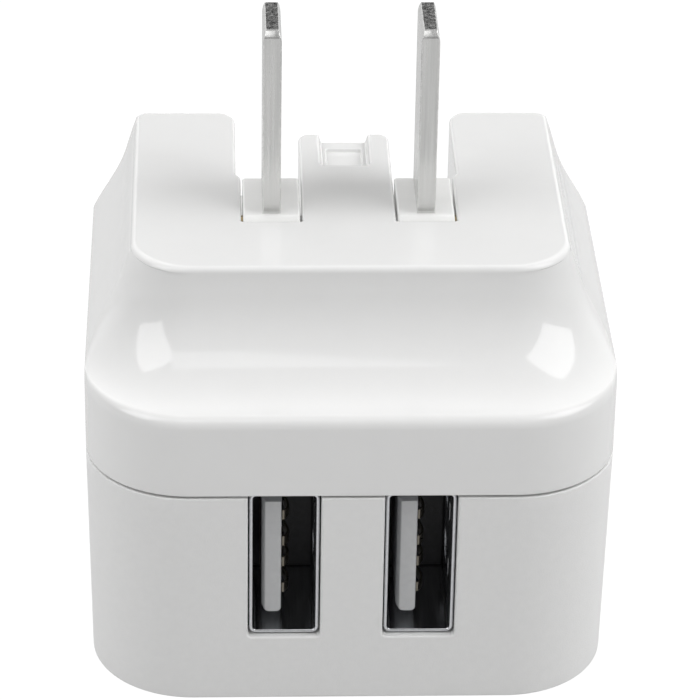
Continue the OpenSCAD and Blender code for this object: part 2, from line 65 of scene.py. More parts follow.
SIDES = ((-1, "left"), (1, "right"))
WIDTH = top_hi[0] - top_lo[0]
FRONT, BACK, TOP = top_lo[1], top_hi[1], top_hi[2]
WALL = 1.8
CORNER = 8.5
REAR = 0.8
BASE_R = 0.35
DRAFT = 0.25
SEAM = usb_hi[2]
GAP = 0.1
EDGE_R = 0.15
HUMP_H, HUMP_FRONT, HUMP_SIDE, HUMP_R = 8.95, 8.7, 4.0, 4.7
SHOULDER_R, RIM_R = 1.0, 0.5
WELL_RIM_R = 0.3
PITCH = blade_hi[0] + blade_lo[0]
AXIS_DROP = 1.9
AXIS_Y = frame["joints"][0]["pos_m"][1] * 1000
AXIS_Z = frame["joints"][0]["pos_m"][2] * 1000
BLADE_T = blade_hi[0] - blade_lo[0]
BLOCK_W = rotor_hi[0] - rotor_lo[0] - PITCH
BLOCK_BACK = rotor_hi[1] - AXIS_Y
WELL_IN, WELL_OUT, WELL_FLARE = PITCH / 2 - 2.5, PITCH / 2 + 2.5, 0.4
WELL_FRONT = AXIS_Y - AXIS_DROP - 0.25
WELL_Z = TOP - (AXIS_DROP + BLOCK_BACK + 0.7)
CRADLE_X = WELL_OUT + 1.5
CRADLE_Z = WELL_Z - 1.2
BRIDGE_END = BACK - 4.4
NOTCH_LEN, NOTCH_DEPTH = 5.7, 0.9
PIN_R = 1.15
BORE = PIN_R + 0.05
SCREW_X, SCREW_Y = CRADLE_X + 1.65, AXIS_Y + 7.0
SCREW_BOSS_R, SCREW_HOLE_R = 1.8, 0.75
CHAMBER = 2.4
POST_R, SPIGOT_R = 1.4, 0.8
LIP_IN, LIP_HEIGHT = 1.05, 1.2
PORT_X = (usb_lo[0] + usb_hi[0]) / 2
USB_W, USB_H = usb_hi[0] - usb_lo[0], usb_hi[2] - usb_lo[2]
USB_Y, USB_Z = usb_lo[1], usb_lo[2]
USB_LEN = usb_hi[1] - usb_lo[1]
USB_T = 0.3
LEAF_HEIGHTS = (USB_H * 0.3, USB_H * 0.7)
LEAF_W, LEAF_T = 1.6, 0.2
CONTACT_ROWS = (-3.5, -1.0, 1.0, 3.5)
CONTACT_W, CONTACT_T = 0.9, 0.21

# ---------- mesh helpers ----------


def tidy(ob):
    """Normals outward, no doubled points."""
    bm = bmesh.new()
    bm.from_mesh(ob.data)
    bmesh.ops.remove_doubles(bm, verts=bm.verts, dist=1e-5)
    bmesh.ops.recalc_face_normals(bm, faces=bm.faces)
    bm.to_mesh(ob.data)
    bm.free()
    return ob


def solid(name, verts, faces):
    mesh = bpy.data.meshes.new(name)
    mesh.from_pydata([tuple(v) for v in verts], [], [tuple(f) for f in faces])
    mesh.update()
    ob = bpy.data.objects.new(name, mesh)
    scene.collection.objects.link(ob)
    return tidy(ob)


def loft(name, rings):
    """Closed solid through rings that all have the same number of points."""
    n = len(rings[0])
    verts = [p for ring in rings for p in ring]
    faces = [list(range(n))[::-1], [(len(rings) - 1) * n + i for i in range(n)]]
    for k in range(len(rings) - 1):
        for i in range(n):
            j = (i + 1) % n
            faces.append([k * n + i, k * n + j, (k + 1) * n + j, (k + 1) * n + i])
    return solid(name, verts, faces)


def block(a, b):
    x0, y0, z0 = a
    x1, y1, z1 = b
    return loft("block", [[(x0, y0, z), (x1, y0, z), (x1, y1, z), (x0, y1, z)] for z in (z0, z1)])


def rod(a, b, r, n=40):
    """Round bar from a to b."""
    a, b = Vector(a), Vector(b)
    turn = (b - a).to_track_quat("Z", "Y")
    angles = [2 * math.pi * i / n for i in range(n)]
    ring = [turn @ Vector((r * math.cos(t), r * math.sin(t), 0)) for t in angles]
    return loft("rod", [[p + c for p in ring] for c in (a, b)])


def applied(ob):
    """The mesh after its modifiers takes the place of the one before them."""
    depsgraph = bpy.context.evaluated_depsgraph_get()
    mesh = bpy.data.meshes.new_from_object(ob.evaluated_get(depsgraph))
    ob.modifiers.clear()
    old, ob.data = ob.data, mesh
    bpy.data.meshes.remove(old)
    return ob


def boolean(ob, tool, operation="DIFFERENCE"):
    """Cut the tool from the object, or add it, and use the tool up."""
    mod = ob.modifiers.new("cut", "BOOLEAN")
    mod.operation = operation
    mod.object = tool
    mod.solver = "MANIFOLD"
    applied(ob)
    bpy.data.objects.remove(tool)
    return ob


def outline(corners, steps=6):
    """Points and outward normals of an anticlockwise outline given as (x, y, corner radius)."""
    out = []
    count = len(corners)
    for i, (x, y, r) in enumerate(corners):
        px, py = corners[i - 1][:2]
        qx, qy = corners[(i + 1) % count][:2]
        a, b = Vector((x - px, y - py)).normalized(), Vector((qx - x, qy - y)).normalized()
        na, nb = Vector((a.y, -a.x)), Vector((b.y, -b.x))
        turn = math.atan2(a.x * b.y - a.y * b.x, a.dot(b))
        if r <= 0:
            out.append((Vector((x, y)), (na + nb) / (1 + na.dot(nb))))
            continue
        side = 1 if turn > 0 else -1
        centre = Vector((x, y)) - a * r * math.tan(abs(turn) / 2) - na * r * side
        for k in range(steps + 1):
            t = turn * k / steps
            n = Vector((na.x * math.cos(t) - na.y * math.sin(t), na.x * math.sin(t) + na.y * math.cos(t)))
            out.append((centre + n * r * side, n))
    return out


def grown(line, d):
    """Outline's points moved outward by d."""
    return [p + n * d for p, n in line]


def levels_z(line, levels):
    """Rings of an outline in x and y, one for each (z, distance outward)."""
    return [[(p.x, p.y, z) for p in grown(line, d)] for z, d in levels]


def levels_y(line, levels):
    """Rings of an outline in x and z, one for each (y, distance outward)."""
    return [[(p.x, y, p.y) for p in grown(line, d)] for y, d in levels]


def fillet(r, steps=6):
    """(distance along, distance in) of a quarter round, from the straight side to the end face."""
    angles = [math.pi / 2 * k / steps for k in range(steps + 1)]
    return [(r * math.sin(t), r * (1 - math.cos(t))) for t in angles]


def bevelled(ob, width, segments=3, angle=25):
    mod = ob.modifiers.new("bevel", "BEVEL")
    mod.width = width
    mod.segments = segments
    mod.limit_method = "ANGLE"
    mod.angle_limit = math.radians(angle)
    return applied(ob)


def joined(name, obs):
    """One mesh holding several separate shells."""
    bm = bmesh.new()
    for ob in obs:
        bm.from_mesh(ob.data)
    mesh = bpy.data.meshes.new(name)
    bm.to_mesh(mesh)
    bm.free()
    for ob in obs:
        bpy.data.objects.remove(ob)
    ob = bpy.data.objects.new(name, mesh)
    scene.collection.objects.link(ob)
    return ob


def moved(ob, x, y, z):
    ob.data.transform(Matrix.Translation((x, y, z)))
    return ob


def finished(ob, name, body, nodes, mat, angle=32):
    """Into metres, smooth with sharp edges kept, riding on its body in place of its CAD nodes."""
    ob.name = name
    ob.data.name = name
    bm = bmesh.new()
    bm.from_mesh(ob.data)
    bmesh.ops.remove_doubles(bm, verts=bm.verts, dist=2e-4)
    bmesh.ops.dissolve_degenerate(bm, edges=bm.edges, dist=2e-4)
    bmesh.ops.recalc_face_normals(bm, faces=bm.faces)
    bm.to_mesh(ob.data)
    bm.free()
    ob.data.transform(Matrix.Scale(0.001, 4))
    ob.data.polygons.foreach_set("use_smooth", [True] * len(ob.data.polygons))
    ob.data.set_sharp_from_angle(angle=math.radians(angle))
    mod = ob.modifiers.new("normals", "WEIGHTED_NORMAL")
    mod.keep_sharp = True
    mod.weight = 60
    ob.data.materials.clear()
    ob.data.materials.append(mat)
    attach(ob, body)
    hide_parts(*nodes)
    return ob


# ---------- body outline ----------


def body_ring(z, side, front, radius, far, steps=36, rear_steps=6):
    """Plan of the body at height z, stepped in by side, front and far, with the near corners' radius."""
    half, near, back = WIDTH / 2 - side, FRONT + front, BACK - far
    points = []
    for cx, cy, r, a0, n in (
        (half - radius, near + radius, radius, -90, steps),
        (half - REAR, back - REAR, REAR, 0, rear_steps),
        (-half + REAR, back - REAR, REAR, 90, rear_steps),
        (-half + radius, near + radius, radius, 180, steps),
    ):
        for i in range(n + 1):
            a = math.radians(a0 + 90 * i / n)
            points.append((cx + r * math.cos(a), cy + r * math.sin(a), z))
    return points


def side_in(u):
    """How far the hump's sides step in at u, which is 1 at its foot and 0 at the flat face."""
    return HUMP_SIDE * (1 - u + 0.11 * math.sin(math.pi * u) ** 2)


def front_in(u):
    """How far the hump's front steps back at u: a quarter ellipse."""
    return HUMP_FRONT * math.sqrt(max(0, 1 - u * u))


def hump_r(u):
    """Radius of the hump's near corners at u."""
    return HUMP_R + (CORNER - HUMP_R) * u


def plan(inset):
    """Plan of the body between the shells, stepped in all round."""
    w, r = WIDTH / 2 - inset, CORNER - inset
    near, far = FRONT + inset, BACK - inset
    return outline([(-w, near, r), (w, near, r), (w, far, 0), (-w, far, 0)], 24)


def prism(line, z0, z1):
    return loft("prism", levels_z(line, [(z0, 0), (z1, 0)]))


# ---------- materials ----------


class Nodes:
    """Short ways to add nodes to one tree and to join them."""

    def __init__(self, tree):
        self.tree = tree

    def add(self, kind, inputs=None, **settings):
        """New node; inputs, by name or number, take a value or the output that feeds them."""
        node = self.tree.nodes.new("ShaderNode" + kind)
        for key, value in settings.items():
            setattr(node, key, value)
        self.feed(node, inputs or {})
        return node

    def feed(self, node, inputs):
        for key, value in inputs.items():
            if isinstance(value, bpy.types.NodeSocket):
                self.tree.links.new(value, node.inputs[key])
            else:
                node.inputs[key].default_value = value

    def noise(self, place, scale, detail=4.0):
        inputs = {"Vector": place, "Scale": scale, "Detail": detail, "Roughness": 0.55}
        return self.add("TexNoise", inputs).outputs["Fac"]

    def ramp(self, source, lo, hi, a, b, style="LINEAR"):
        """Value that goes from a to b while the source goes from lo to hi."""
        inputs = {"Value": source, "From Min": lo, "From Max": hi, "To Min": a, "To Max": b}
        return self.add("MapRange", inputs, interpolation_type=style).outputs["Result"]

    def mix(self, factor, a, b):
        """Blend of two colours; the colour node's factor, A and B are inputs 0, 6 and 7."""
        return self.add("Mix", {0: factor, 6: a, 7: b}, data_type="RGBA").outputs[2]

    def maths(self, operation, *values):
        return self.add("Math", dict(enumerate(values)), operation=operation).outputs[0]

    def dot(self, a, b):
        return self.add("VectorMath", {0: a, 1: b}, operation="DOT_PRODUCT").outputs["Value"]

    def bump(self, height, strength, distance, under=None):
        inputs = {"Height": height, "Strength": strength, "Distance": distance}
        if under:
            inputs["Normal"] = under
        return self.add("Bump", inputs).outputs["Normal"]


def rgba(colour):
    return (*colour, 1)


def worn_edges(nodes, place, strength, radius):
    """Strength on sharp edges, broken up by noise, and 0 elsewhere."""
    rounded = nodes.add("Bevel", {"Radius": radius}, samples=6).outputs["Normal"]
    flat = nodes.add("NewGeometry").outputs["Normal"]
    edge = nodes.ramp(nodes.dot(rounded, flat), 0.995, 0.93, 0, strength)
    broken = nodes.ramp(nodes.noise(place, 1400, 5.0), 0.42, 0.62, 0, 1)
    return nodes.maths("MULTIPLY", edge, broken)


def material(
    name,
    colour,
    rough=0.4,
    metal=0.0,
    tint=0.02,
    tint_scale=600,
    stretch=(1, 1, 1),
    rough_vary=0.05,
    bump=0.02,
    bump_scale=3000,
    coat=0.0,
    coat_rough=0.06,
    wear=0.0,
    wear_r=0.0003,
    wear_colour=None,
    second=None,
    second_scale=400,
    second_cut=(0.5, 0.6),
    wave=0.0,
    wave_scale=120,
):
    """Principled surface whose colour, roughness and bump all come from procedural nodes."""
    mat = bpy.data.materials.new(name)
    mat.use_nodes = True
    nodes = Nodes(mat.node_tree)
    place = nodes.add("TexCoord").outputs["Object"]
    stretched = nodes.add("Mapping", {"Vector": place, "Scale": stretch}).outputs["Vector"]
    grain = nodes.noise(stretched, tint_scale)
    dark = rgba(c * (1 - tint) for c in colour)
    light = rgba(min(1, c * (1 + tint)) for c in colour)
    base = nodes.mix(nodes.ramp(grain, 0.3, 0.7, 0, 1), dark, light)
    if second:
        patch = nodes.noise(place, second_scale, 3.0)
        base = nodes.mix(nodes.ramp(patch, *second_cut, 0, 1), base, rgba(second))
    roughness = nodes.ramp(grain, 0.3, 0.7, max(0.02, rough - rough_vary), rough + rough_vary)
    if wear:
        worn = worn_edges(nodes, place, wear, wear_r)
        base = nodes.mix(worn, base, rgba(wear_colour or (c * 0.86 for c in colour)))
        roughness = nodes.maths("MULTIPLY_ADD", worn, 0.25, roughness)
    normal = nodes.bump(nodes.noise(stretched, bump_scale, 3.0), bump, 0.0001)
    if wave:
        normal = nodes.bump(nodes.noise(place, wave_scale, 1.5), wave, 0.0005, normal)
    nodes.feed(mat.node_tree.nodes["Principled BSDF"], {
        "Base Color": base,
        "Metallic": metal,
        "Roughness": roughness,
        "Normal": normal,
        "Coat Weight": coat,
        "Coat Roughness": coat_rough,
    })
    return mat


WHITE = (0.83, 0.83, 0.825)
gloss = material("gloss_white", WHITE, rough=0.07, tint=0.006, tint_scale=350, rough_vary=0.02,
                 bump=0.03, bump_scale=5200, coat=0.35, coat_rough=0.02, wear=0.35, wave=0.05,
                 wave_scale=160)
rotor_gloss = material("rotor_white", (0.86, 0.86, 0.85), rough=0.2, tint=0.012, tint_scale=700,
                       rough_vary=0.05, bump=0.05, bump_scale=4200, wear=0.5, wave=0.04,
                       wave_scale=400)
satin = material("satin_white", (0.815, 0.815, 0.81), rough=0.42, tint=0.012, tint_scale=1500,
                 rough_vary=0.05, bump=0.22, bump_scale=9000, wear=0.35)
plated = material("plated_blade", (0.67, 0.67, 0.66), rough=0.24, metal=1.0, tint=0.09,
                  tint_scale=90, stretch=(36, 36, 1), rough_vary=0.07, bump=0.10, bump_scale=110,
                  wear=0.8, wear_colour=(0.95, 0.95, 0.94), wear_r=0.0002)
steel = material("socket_steel", (0.66, 0.67, 0.69), rough=0.2, metal=1.0, tint=0.07,
                 tint_scale=160, stretch=(20, 1, 20), rough_vary=0.05, bump=0.06, bump_scale=260,
                 wear=0.6, wear_colour=(0.85, 0.85, 0.86), wear_r=0.00012)
pale = material("socket_plastic", (0.55, 0.555, 0.56), rough=0.45, tint=0.04, tint_scale=1400,
                bump=0.15, bump_scale=7000, wear=0.3)
black = material("carrier_black", (0.055, 0.055, 0.058), rough=0.5, tint=0.2, tint_scale=1500,
                 bump=0.2, bump_scale=7000, wear=0.4, wear_colour=(0.06, 0.06, 0.065))
# contact colour darkened far below real gold as painted shade, for the shade deep inside the socket; the
# lighter edge colour is wear
gold_painted_shade = material("contact_gold", (0.22, 0.20, 0.165), rough=0.3, metal=1.0, tint=0.06,
                tint_scale=700, bump=0.08, bump_scale=3000, wear=0.5,
                wear_colour=(0.32, 0.30, 0.25), wear_r=0.0001)

# ---------- upper shell ----------

U_LOW = math.sqrt(1 - (SHOULDER_R / HUMP_FRONT) ** 2)
U_HIGH = RIM_R / HUMP_H
LOW_Z = TOP - HUMP_H * U_LOW
FLANK_STEPS = 44
FLANK = [
    math.sin(math.asin(U_LOW) + (math.asin(U_HIGH) - math.asin(U_LOW)) * i / FLANK_STEPS)
    for i in range(1, FLANK_STEPS + 1)
]


def upper_outside():
    """Band, shoulder, concave flank and the rim of the flat face."""
    edge = SEAM + GAP + EDGE_R
    band = LOW_Z - SHOULDER_R - edge
    rings = [body_ring(edge - a, b, b, CORNER - b, b) for a, b in fillet(EDGE_R, 4)[::-1]]
    rings += [body_ring(edge + band * t, 0, 0, CORNER, 0) for t in (0.08, 0.5, 0.92)]
    for k in range(11):
        a = math.pi / 2 * k / 10
        z = LOW_Z - SHOULDER_R * (1 - math.sin(a))
        rings.append(body_ring(z, side_in(U_LOW) * k / 10, SHOULDER_R * (1 - math.cos(a)), CORNER, 0))
    for u in FLANK:
        rings.append(body_ring(TOP - HUMP_H * u, side_in(u), front_in(u), hump_r(u), 0))
    for k in range(1, 9):
        a = math.pi / 2 * k / 8
        d = RIM_R * (1 - math.cos(a))
        z = TOP - RIM_R * (1 - math.sin(a))
        rings.append(body_ring(z, side_in(U_HIGH) + d, front_in(U_HIGH) + d, HUMP_R, d))
    return loft("top", rings)


def upper_hollow():
    """Space inside the upper shell, less the cradle of the blades and its two screw bosses."""
    rings = [body_ring(z, WALL, WALL, CORNER - WALL, WALL, 14, 3) for z in (SEAM - 1, LOW_Z - WALL)]
    for u in FLANK[::4]:
        rings.append(body_ring(TOP - HUMP_H * u - WALL, side_in(u) + WALL, front_in(u) + WALL,
                               max(hump_r(u) - WALL, REAR), WALL, 14, 3))
    hollow = loft("hollow", rings)
    near, far = WELL_FRONT - 1.5, BACK - 0.8
    boolean(hollow, block((-CRADLE_X, near, CRADLE_Z), (CRADLE_X, far, TOP + 1)))
    for s in (-1, 1):
        x = s * SCREW_X
        boolean(hollow, rod((x, SCREW_Y, CRADLE_Z), (x, SCREW_Y, TOP + 1), SCREW_BOSS_R))
    return hollow


def wells():
    """Both wells with soft rims, cut by one outline that runs round the bridge between them."""
    wide, far, outside = WELL_OUT + WELL_FLARE, BACK + 0.03, BACK + 2
    past = wide + 2.6
    flare_y = AXIS_Y + BLOCK_BACK + 0.6
    right = [
        (WELL_IN, WELL_FRONT, 0.35), (WELL_OUT, WELL_FRONT, 0.35), (WELL_OUT, flare_y - 0.35, 0.6),
        (wide, flare_y + 0.35, 0.6), (wide, far, 2.0), (past, far, 0), (past, outside, 0),
    ]
    left = [(-x, y, r) for x, y, r in right[::-1]]
    line = outline(right + left + [(-WELL_IN, BRIDGE_END, 1.0), (WELL_IN, BRIDGE_END, 1.0)], 8)
    levels = [(WELL_Z + b, a - WELL_RIM_R) for a, b in fillet(WELL_RIM_R, 4)]
    levels += [(TOP - WELL_RIM_R + 0.004 + a, b) for a, b in fillet(WELL_RIM_R, 6)]
    return loft("wells", levels_z(line, levels + [(TOP + 1, WELL_RIM_R)]))


def latch_notch():
    """Notch at the far end of the bridge, flared at its sides."""
    half, near = WELL_IN / 2, BRIDGE_END - NOTCH_LEN
    line = outline([(-half, near, 0.3), (half, near, 0.3), (half, BACK, 0), (-half, BACK, 0)], 6)
    levels = [(TOP - NOTCH_DEPTH + EDGE_R - a, -b) for a, b in fillet(EDGE_R, 4)[::-1]]
    levels += [(TOP - 0.45, 0.1), (TOP - 0.3, 0.14)]
    levels += [(TOP - 0.3 + a * 1.01, 0.14 + b) for a, b in fillet(0.3, 6)[1:]]
    return loft("notch", levels_z(line, levels + [(TOP + 1, 0.44)]))


def latch_pocket():
    """Small pocket in the floor of the notch."""
    near, far, floor_z = BRIDGE_END - 4.2, BRIDGE_END - 1.1, TOP - 1.25
    line = outline([(-1.5, near, 0.3), (1.5, near, 0.3), (1.5, far, 0.3), (-1.5, far, 0.3)], 6)
    levels = [(floor_z + 0.12 - a, -b) for a, b in fillet(0.12, 3)[::-1]]
    levels += [(TOP - NOTCH_DEPTH - 0.14 + a * 1.02, b) for a, b in fillet(0.14, 4)]
    return loft("pocket", levels_z(line, levels + [(TOP - 0.7, 0.14)]))


def cut_cradle(top):
    """Saddles, screw holes, detent chamber and pivot bores."""
    near, far = AXIS_Y - BORE, AXIS_Y + BORE
    for s in (-1, 1):
        a, b = sorted((s * (WELL_OUT - 0.01), s * (CRADLE_X + 1)))
        x = s * SCREW_X
        boolean(top, block((a, near, CRADLE_Z - 1), (b, far, AXIS_Z)))
        boolean(top, rod((x, SCREW_Y, CRADLE_Z - 1), (x, SCREW_Y, CRADLE_Z + 5), SCREW_HOLE_R))
    boolean(top, block((-WELL_IN - 0.01, near, CRADLE_Z - 1), (WELL_IN + 0.01, far, AXIS_Z)))
    boolean(top, block((-CHAMBER, WELL_FRONT, CRADLE_Z - 1), (CHAMBER, AXIS_Y + 5.4, AXIS_Z - 1.7)))
    boolean(top, block((-CHAMBER, WELL_FRONT, AXIS_Z - 2), (CHAMBER, AXIS_Y + 2.25, AXIS_Z)))
    reach = CRADLE_X + 2.55
    boolean(top, rod((-reach, AXIS_Y, AXIS_Z), (reach, AXIS_Y, AXIS_Z), BORE))


top = upper_outside()
boolean(top, upper_hollow())
boolean(top, wells())
boolean(top, latch_notch())
boolean(top, latch_pocket())
cut_cradle(top)
boolean(top, prism(plan(1.0), SEAM - 1, SEAM + 1.25))
finished(top, "upper_shell", "housing", ["top_shell"], gloss)

# ---------- lower shell ----------

BASE_TOP = SEAM - GAP


def lower_outside():
    """Leaning sides from the rounded bottom edge up to the seam."""
    rings = []
    for k in range(9):
        a = math.pi / 2 * k / 8
        d = DRAFT + BASE_R * (1 - math.sin(a))
        rings.append(body_ring(BASE_R * (1 - math.cos(a)), d, d, CORNER - d + DRAFT, d))
    for t in (0.06, 0.3, 0.6, 0.94):
        z = BASE_R + (BASE_TOP - EDGE_R - BASE_R) * t
        d = DRAFT * (1 - (z - BASE_R) / (BASE_TOP - BASE_R))
        rings.append(body_ring(z, d, d, CORNER, d))
    rings += [body_ring(BASE_TOP - EDGE_R + a, b, b, CORNER - b, b) for a, b in fillet(EDGE_R, 4)]
    return loft("base", rings)


def add_board_posts(base):
    """Four posts with spigots that carry the circuit board, and a ledge at its far edge."""
    in_x, in_y = WIDTH / 2 - WALL, BACK - WALL
    foot, board_z = WALL - 0.5, USB_Z - 1.6
    near = [(s * (in_x - 4.2), -in_y + 4.0) for s in (-1, 1)]
    far = [(s * (in_x - 1.9), in_y - 10.6) for s in (-1, 1)]
    for x, y in near + far:
        post = rod((x, y, foot), (x, y, board_z), POST_R, 32)
        boolean(post, rod((x, y, board_z - 0.5), (x, y, board_z + 1.4), SPIGOT_R, 32), "UNION")
        boolean(base, post, "UNION")
    boolean(base, block((-6, in_y - 0.9, foot), (6, in_y + 0.5, board_z)), "UNION")


def socket_mouth(s):
    """Cut-out for a socket, with a rounded lip where it meets the leaning front face."""
    half, low, high = USB_W / 2 + 0.1, USB_Z - 0.1, SEAM + 3
    line = outline([(-half, low, 0.3), (half, low, 0.3), (half, high, 0), (-half, high, 0)], 6)
    lip_r = 0.22
    levels = [(FRONT - 1, lip_r)]
    levels += [(FRONT + 0.215 - a, b) for a, b in fillet(lip_r, 5)[::-1]]
    levels += [(FRONT + WALL + 0.1, 0)]
    rings = levels_y(line, levels)
    lean = [[(s * PORT_X + x, y + DRAFT * (1 - z / BASE_TOP), z) for x, y, z in ring] for ring in rings]
    return loft("mouth", lean)


base = lower_outside()
boolean(base, prism(plan(WALL), WALL, SEAM + 2))
lip = prism(plan(LIP_IN), SEAM - 1.0, SEAM + LIP_HEIGHT)
boolean(lip, prism(plan(WALL), SEAM - 2, SEAM + 2))
boolean(base, lip, "UNION")
add_board_posts(base)
for s in (-1, 1):
    boolean(base, socket_mouth(s))
finished(base, "lower_shell", "housing", ["bottom_shell"], satin)

# ---------- folding blades ----------

BLADE_Z = blade_lo[2]


def rotor_block(s):
    """White block round the foot of one blade, with soft edges on both sides."""
    d, edge_r = AXIS_DROP, 0.22
    line = outline([(-d, -d, d - 0.01), (BLOCK_BACK, -d, 1.5), (BLOCK_BACK, d, 0.12), (-d, d, 0.8)], 12)
    x0, x1 = s * PITCH / 2 - BLOCK_W / 2, s * PITCH / 2 + BLOCK_W / 2
    side = fillet(edge_r, 5)
    across = [(x0 + edge_r - a, -b) for a, b in side[::-1]] + [(x1 - edge_r + a, -b) for a, b in side]
    rings = [[(x, p.x + AXIS_Y, p.y + AXIS_Z) for p in grown(line, g)] for x, g in across]
    return loft("block", rings)


def link_bar():
    """Round bar that ties the two blocks together, with the cam that the detent leaf rides on."""
    reach, cam = WELL_IN + 0.6, PIN_R + 0.15
    bar = rod((-reach, AXIS_Y, AXIS_Z), (reach, AXIS_Y, AXIS_Z), PIN_R, 48)
    lobe = bevelled(block((-1.6, AXIS_Y, AXIS_Z - cam), (1.6, AXIS_Y + cam, AXIS_Z)), 0.12)
    return boolean(bar, lobe, "UNION")


def blade(s):
    """Flat blade with a tapered tip and a small hole on the pivot axis."""
    x, t = s * PITCH / 2, BLADE_T / 2
    y0, y1, tip = blade_lo[1], blade_hi[1], blade_hi[2]
    rings = []
    for z, half, cut in ((BLADE_Z, t, 0), (tip - 0.9, t, 0), (tip - 0.5, t - 0.08, 0), (tip, t - 0.2, 0.45)):
        a, b, near, far = x - half, x + half, y0 + cut, y1 - cut
        rings.append([(a, near, z), (b, near, z), (b, far, z), (a, far, z)])
    ob = bevelled(loft("blade", rings), 0.08, 3, 8)
    return boolean(ob, rod((x - 2, AXIS_Y, AXIS_Z), (x + 2, AXIS_Y, AXIS_Z), 0.6, 32))


rotor, other = [rotor_block(s) for s in (-1, 1)]
bar = link_bar()
boolean(rotor, other, "UNION")
boolean(rotor, bar, "UNION")
for s in (-1, 1):
    x = s * PITCH / 2
    boolean(rotor, block((x - BLADE_T / 2, blade_lo[1], BLADE_Z), (x + BLADE_T / 2, blade_hi[1], TOP + 2)))
    a, b = sorted((x, x + s * 4))
    boolean(rotor, rod((a, AXIS_Y, AXIS_Z), (b, AXIS_Y, AXIS_Z), PIN_R, 48))
finished(rotor, "rotor", "blades", ["prong_rotor"], rotor_gloss)

for s, side in SIDES:
    finished(blade(s), "prong_" + side, "blades", ["blade_" + side], plated, 20)

# ---------- sockets ----------


def leaf(x, out, z):
    """Spring tongue cut from the shell wall, bent towards the middle of the socket."""
    path = [(8.1, 0.0), (7.2, 0.02), (6.2, 0.08), (5.2, 0.15), (4.5, 0.19), (4.0, 0.17), (3.6, 0.1)]
    low, high = z - LEAF_W / 2, z + LEAF_W / 2
    rings = []
    for y, d in path:
        a, b = x - out * d, x - out * (d + LEAF_T)
        rings.append([(a, y, low), (a, y, high), (b, y, high), (b, y, low)])
    return bevelled(loft("leaf", rings), 0.05, 2, 40)


def socket_shell(s):
    """Folded steel shell with a rolled front lip, windows and the leaves bent in from them."""
    w, h, t = USB_W / 2, USB_H, USB_T
    line = outline([(-w, 0, 0.6), (w, 0, 0.6), (w, h, 0.6), (-w, h, 0.6)], 8)
    angles = [math.pi * k / 8 for k in range(9)]
    lip_arc = [(t / 2 - t / 2 * math.sin(a), -t / 2 + t / 2 * math.cos(a)) for a in angles]
    levels = [(USB_LEN, -0.2), (USB_LEN - 0.2, 0)] + lip_arc + [(USB_LEN - t, -t)]
    shell = loft("shell", levels_y(line, levels))
    for z in LEAF_HEIGHTS:
        boolean(shell, block((-w - 1, 3.2, z - 1.1), (w + 1, 8.0, z + 1.1)))
    boolean(shell, block((-w + 1, USB_LEN - 2.6, -1), (w - 1, USB_LEN - 0.6, t + 1)))
    leaves = [leaf(out * w, out, z) for out in (-1, 1) for z in LEAF_HEIGHTS]
    return moved(joined("shell", [shell] + leaves), s * PORT_X, USB_Y, USB_Z)


def socket_tongue(node):
    """Plastic tongue with a chamfered nose, squarer at its upper corners."""
    lo, hi = box_mm(node)
    x0, x1, y0, y1, z0, z1 = lo[0], hi[0], lo[1], hi[1], lo[2], hi[2]
    rings = []
    for y, ca, cb, cz in (
        (y0, 0.3, 0.1, 0.2),
        (y0 + 0.04, 0.24, 0.05, 0.1),
        (y0 + 0.14, 0.18, 0.015, 0.04),
        (y0 + 0.75, 0.02, 0, 0),
        (y0 + 0.85, 0, 0, 0),
        (y1, 0, 0, 0),
    ):
        a, b, low, high = x0 + ca, x1 - cb, z0 + cz, z1 - cz * 0.2
        line = outline([(a, low, 0.4), (b, low, 0.4), (b, high, 0.12), (a, high, 0.12)], 6)
        rings.append([(p.x, y, p.y) for p in grown(line, 0)])
    return loft("tongue", rings)


def socket_carrier(node):
    """Dark block that closes the back of the socket."""
    (x0, y0, z0), (x1, y1, z1) = box_mm(node)
    line = outline([(x0, z0, 0.3), (x1, z0, 0.3), (x1, z1, 0.3), (x0, z1, 0.3)], 5)
    levels = [(y0, -EDGE_R), (y0 + EDGE_R, 0), (y1 - EDGE_R, 0), (y1, -EDGE_R)]
    return loft("carrier", levels_y(line, levels))


def socket_contacts(node):
    """Four bowed strips standing off the tongue."""
    lo, hi = box_mm(node)
    bow = [(0, 0.0), (0.2, 0.16), (0.5, 0.32), (0.9, 0.42), (1.3, 0.4), (1.8, 0.3), (2.4, 0.14)]
    bow += [(3.1, 0.03), (hi[1] - lo[1], 0.03)]
    strips = []
    for z in CONTACT_ROWS:
        middle = USB_Z + USB_H / 2 + z
        low, high = middle - CONTACT_W / 2, middle + CONTACT_W / 2
        rings = []
        for along, rise in bow:
            a, b, y = lo[0] + rise, lo[0] + rise + CONTACT_T, lo[1] + along
            rings.append([(a, y, low), (a, y, high), (b, y, high), (b, y, low)])
        strips.append(bevelled(loft("strip", rings), 0.04, 2, 40))
    return joined("contacts", strips)


for s, side in SIDES:
    shell, insulator = "usb_shell_" + side, "usb_insulator_" + side
    carrier, contacts = "usb_carrier_" + side, "usb_contacts_" + side
    finished(socket_shell(s), "socket_shell_" + side, "housing", [shell], steel, 35)
    finished(socket_tongue(insulator), "socket_tongue_" + side, "housing", [insulator],
             pale, 24)
    finished(socket_carrier(carrier), "socket_carrier_" + side, "housing", [carrier],
             black, 24)
    finished(socket_contacts(contacts), "socket_contacts_" + side, "housing", [contacts],
             gold_painted_shade)

# ---------- inner parts keep their CAD shapes and take their own materials ----------


def dress(nodes, name, colour, **look):
    """One material for the named CAD pieces."""
    mat = material(name, colour, **look)
    for node in nodes.split():
        slots = frame["nodes"][node].data.materials
        if len(slots) == 0:
            slots.append(mat)
        for i in range(len(slots)):
            slots[i] = mat
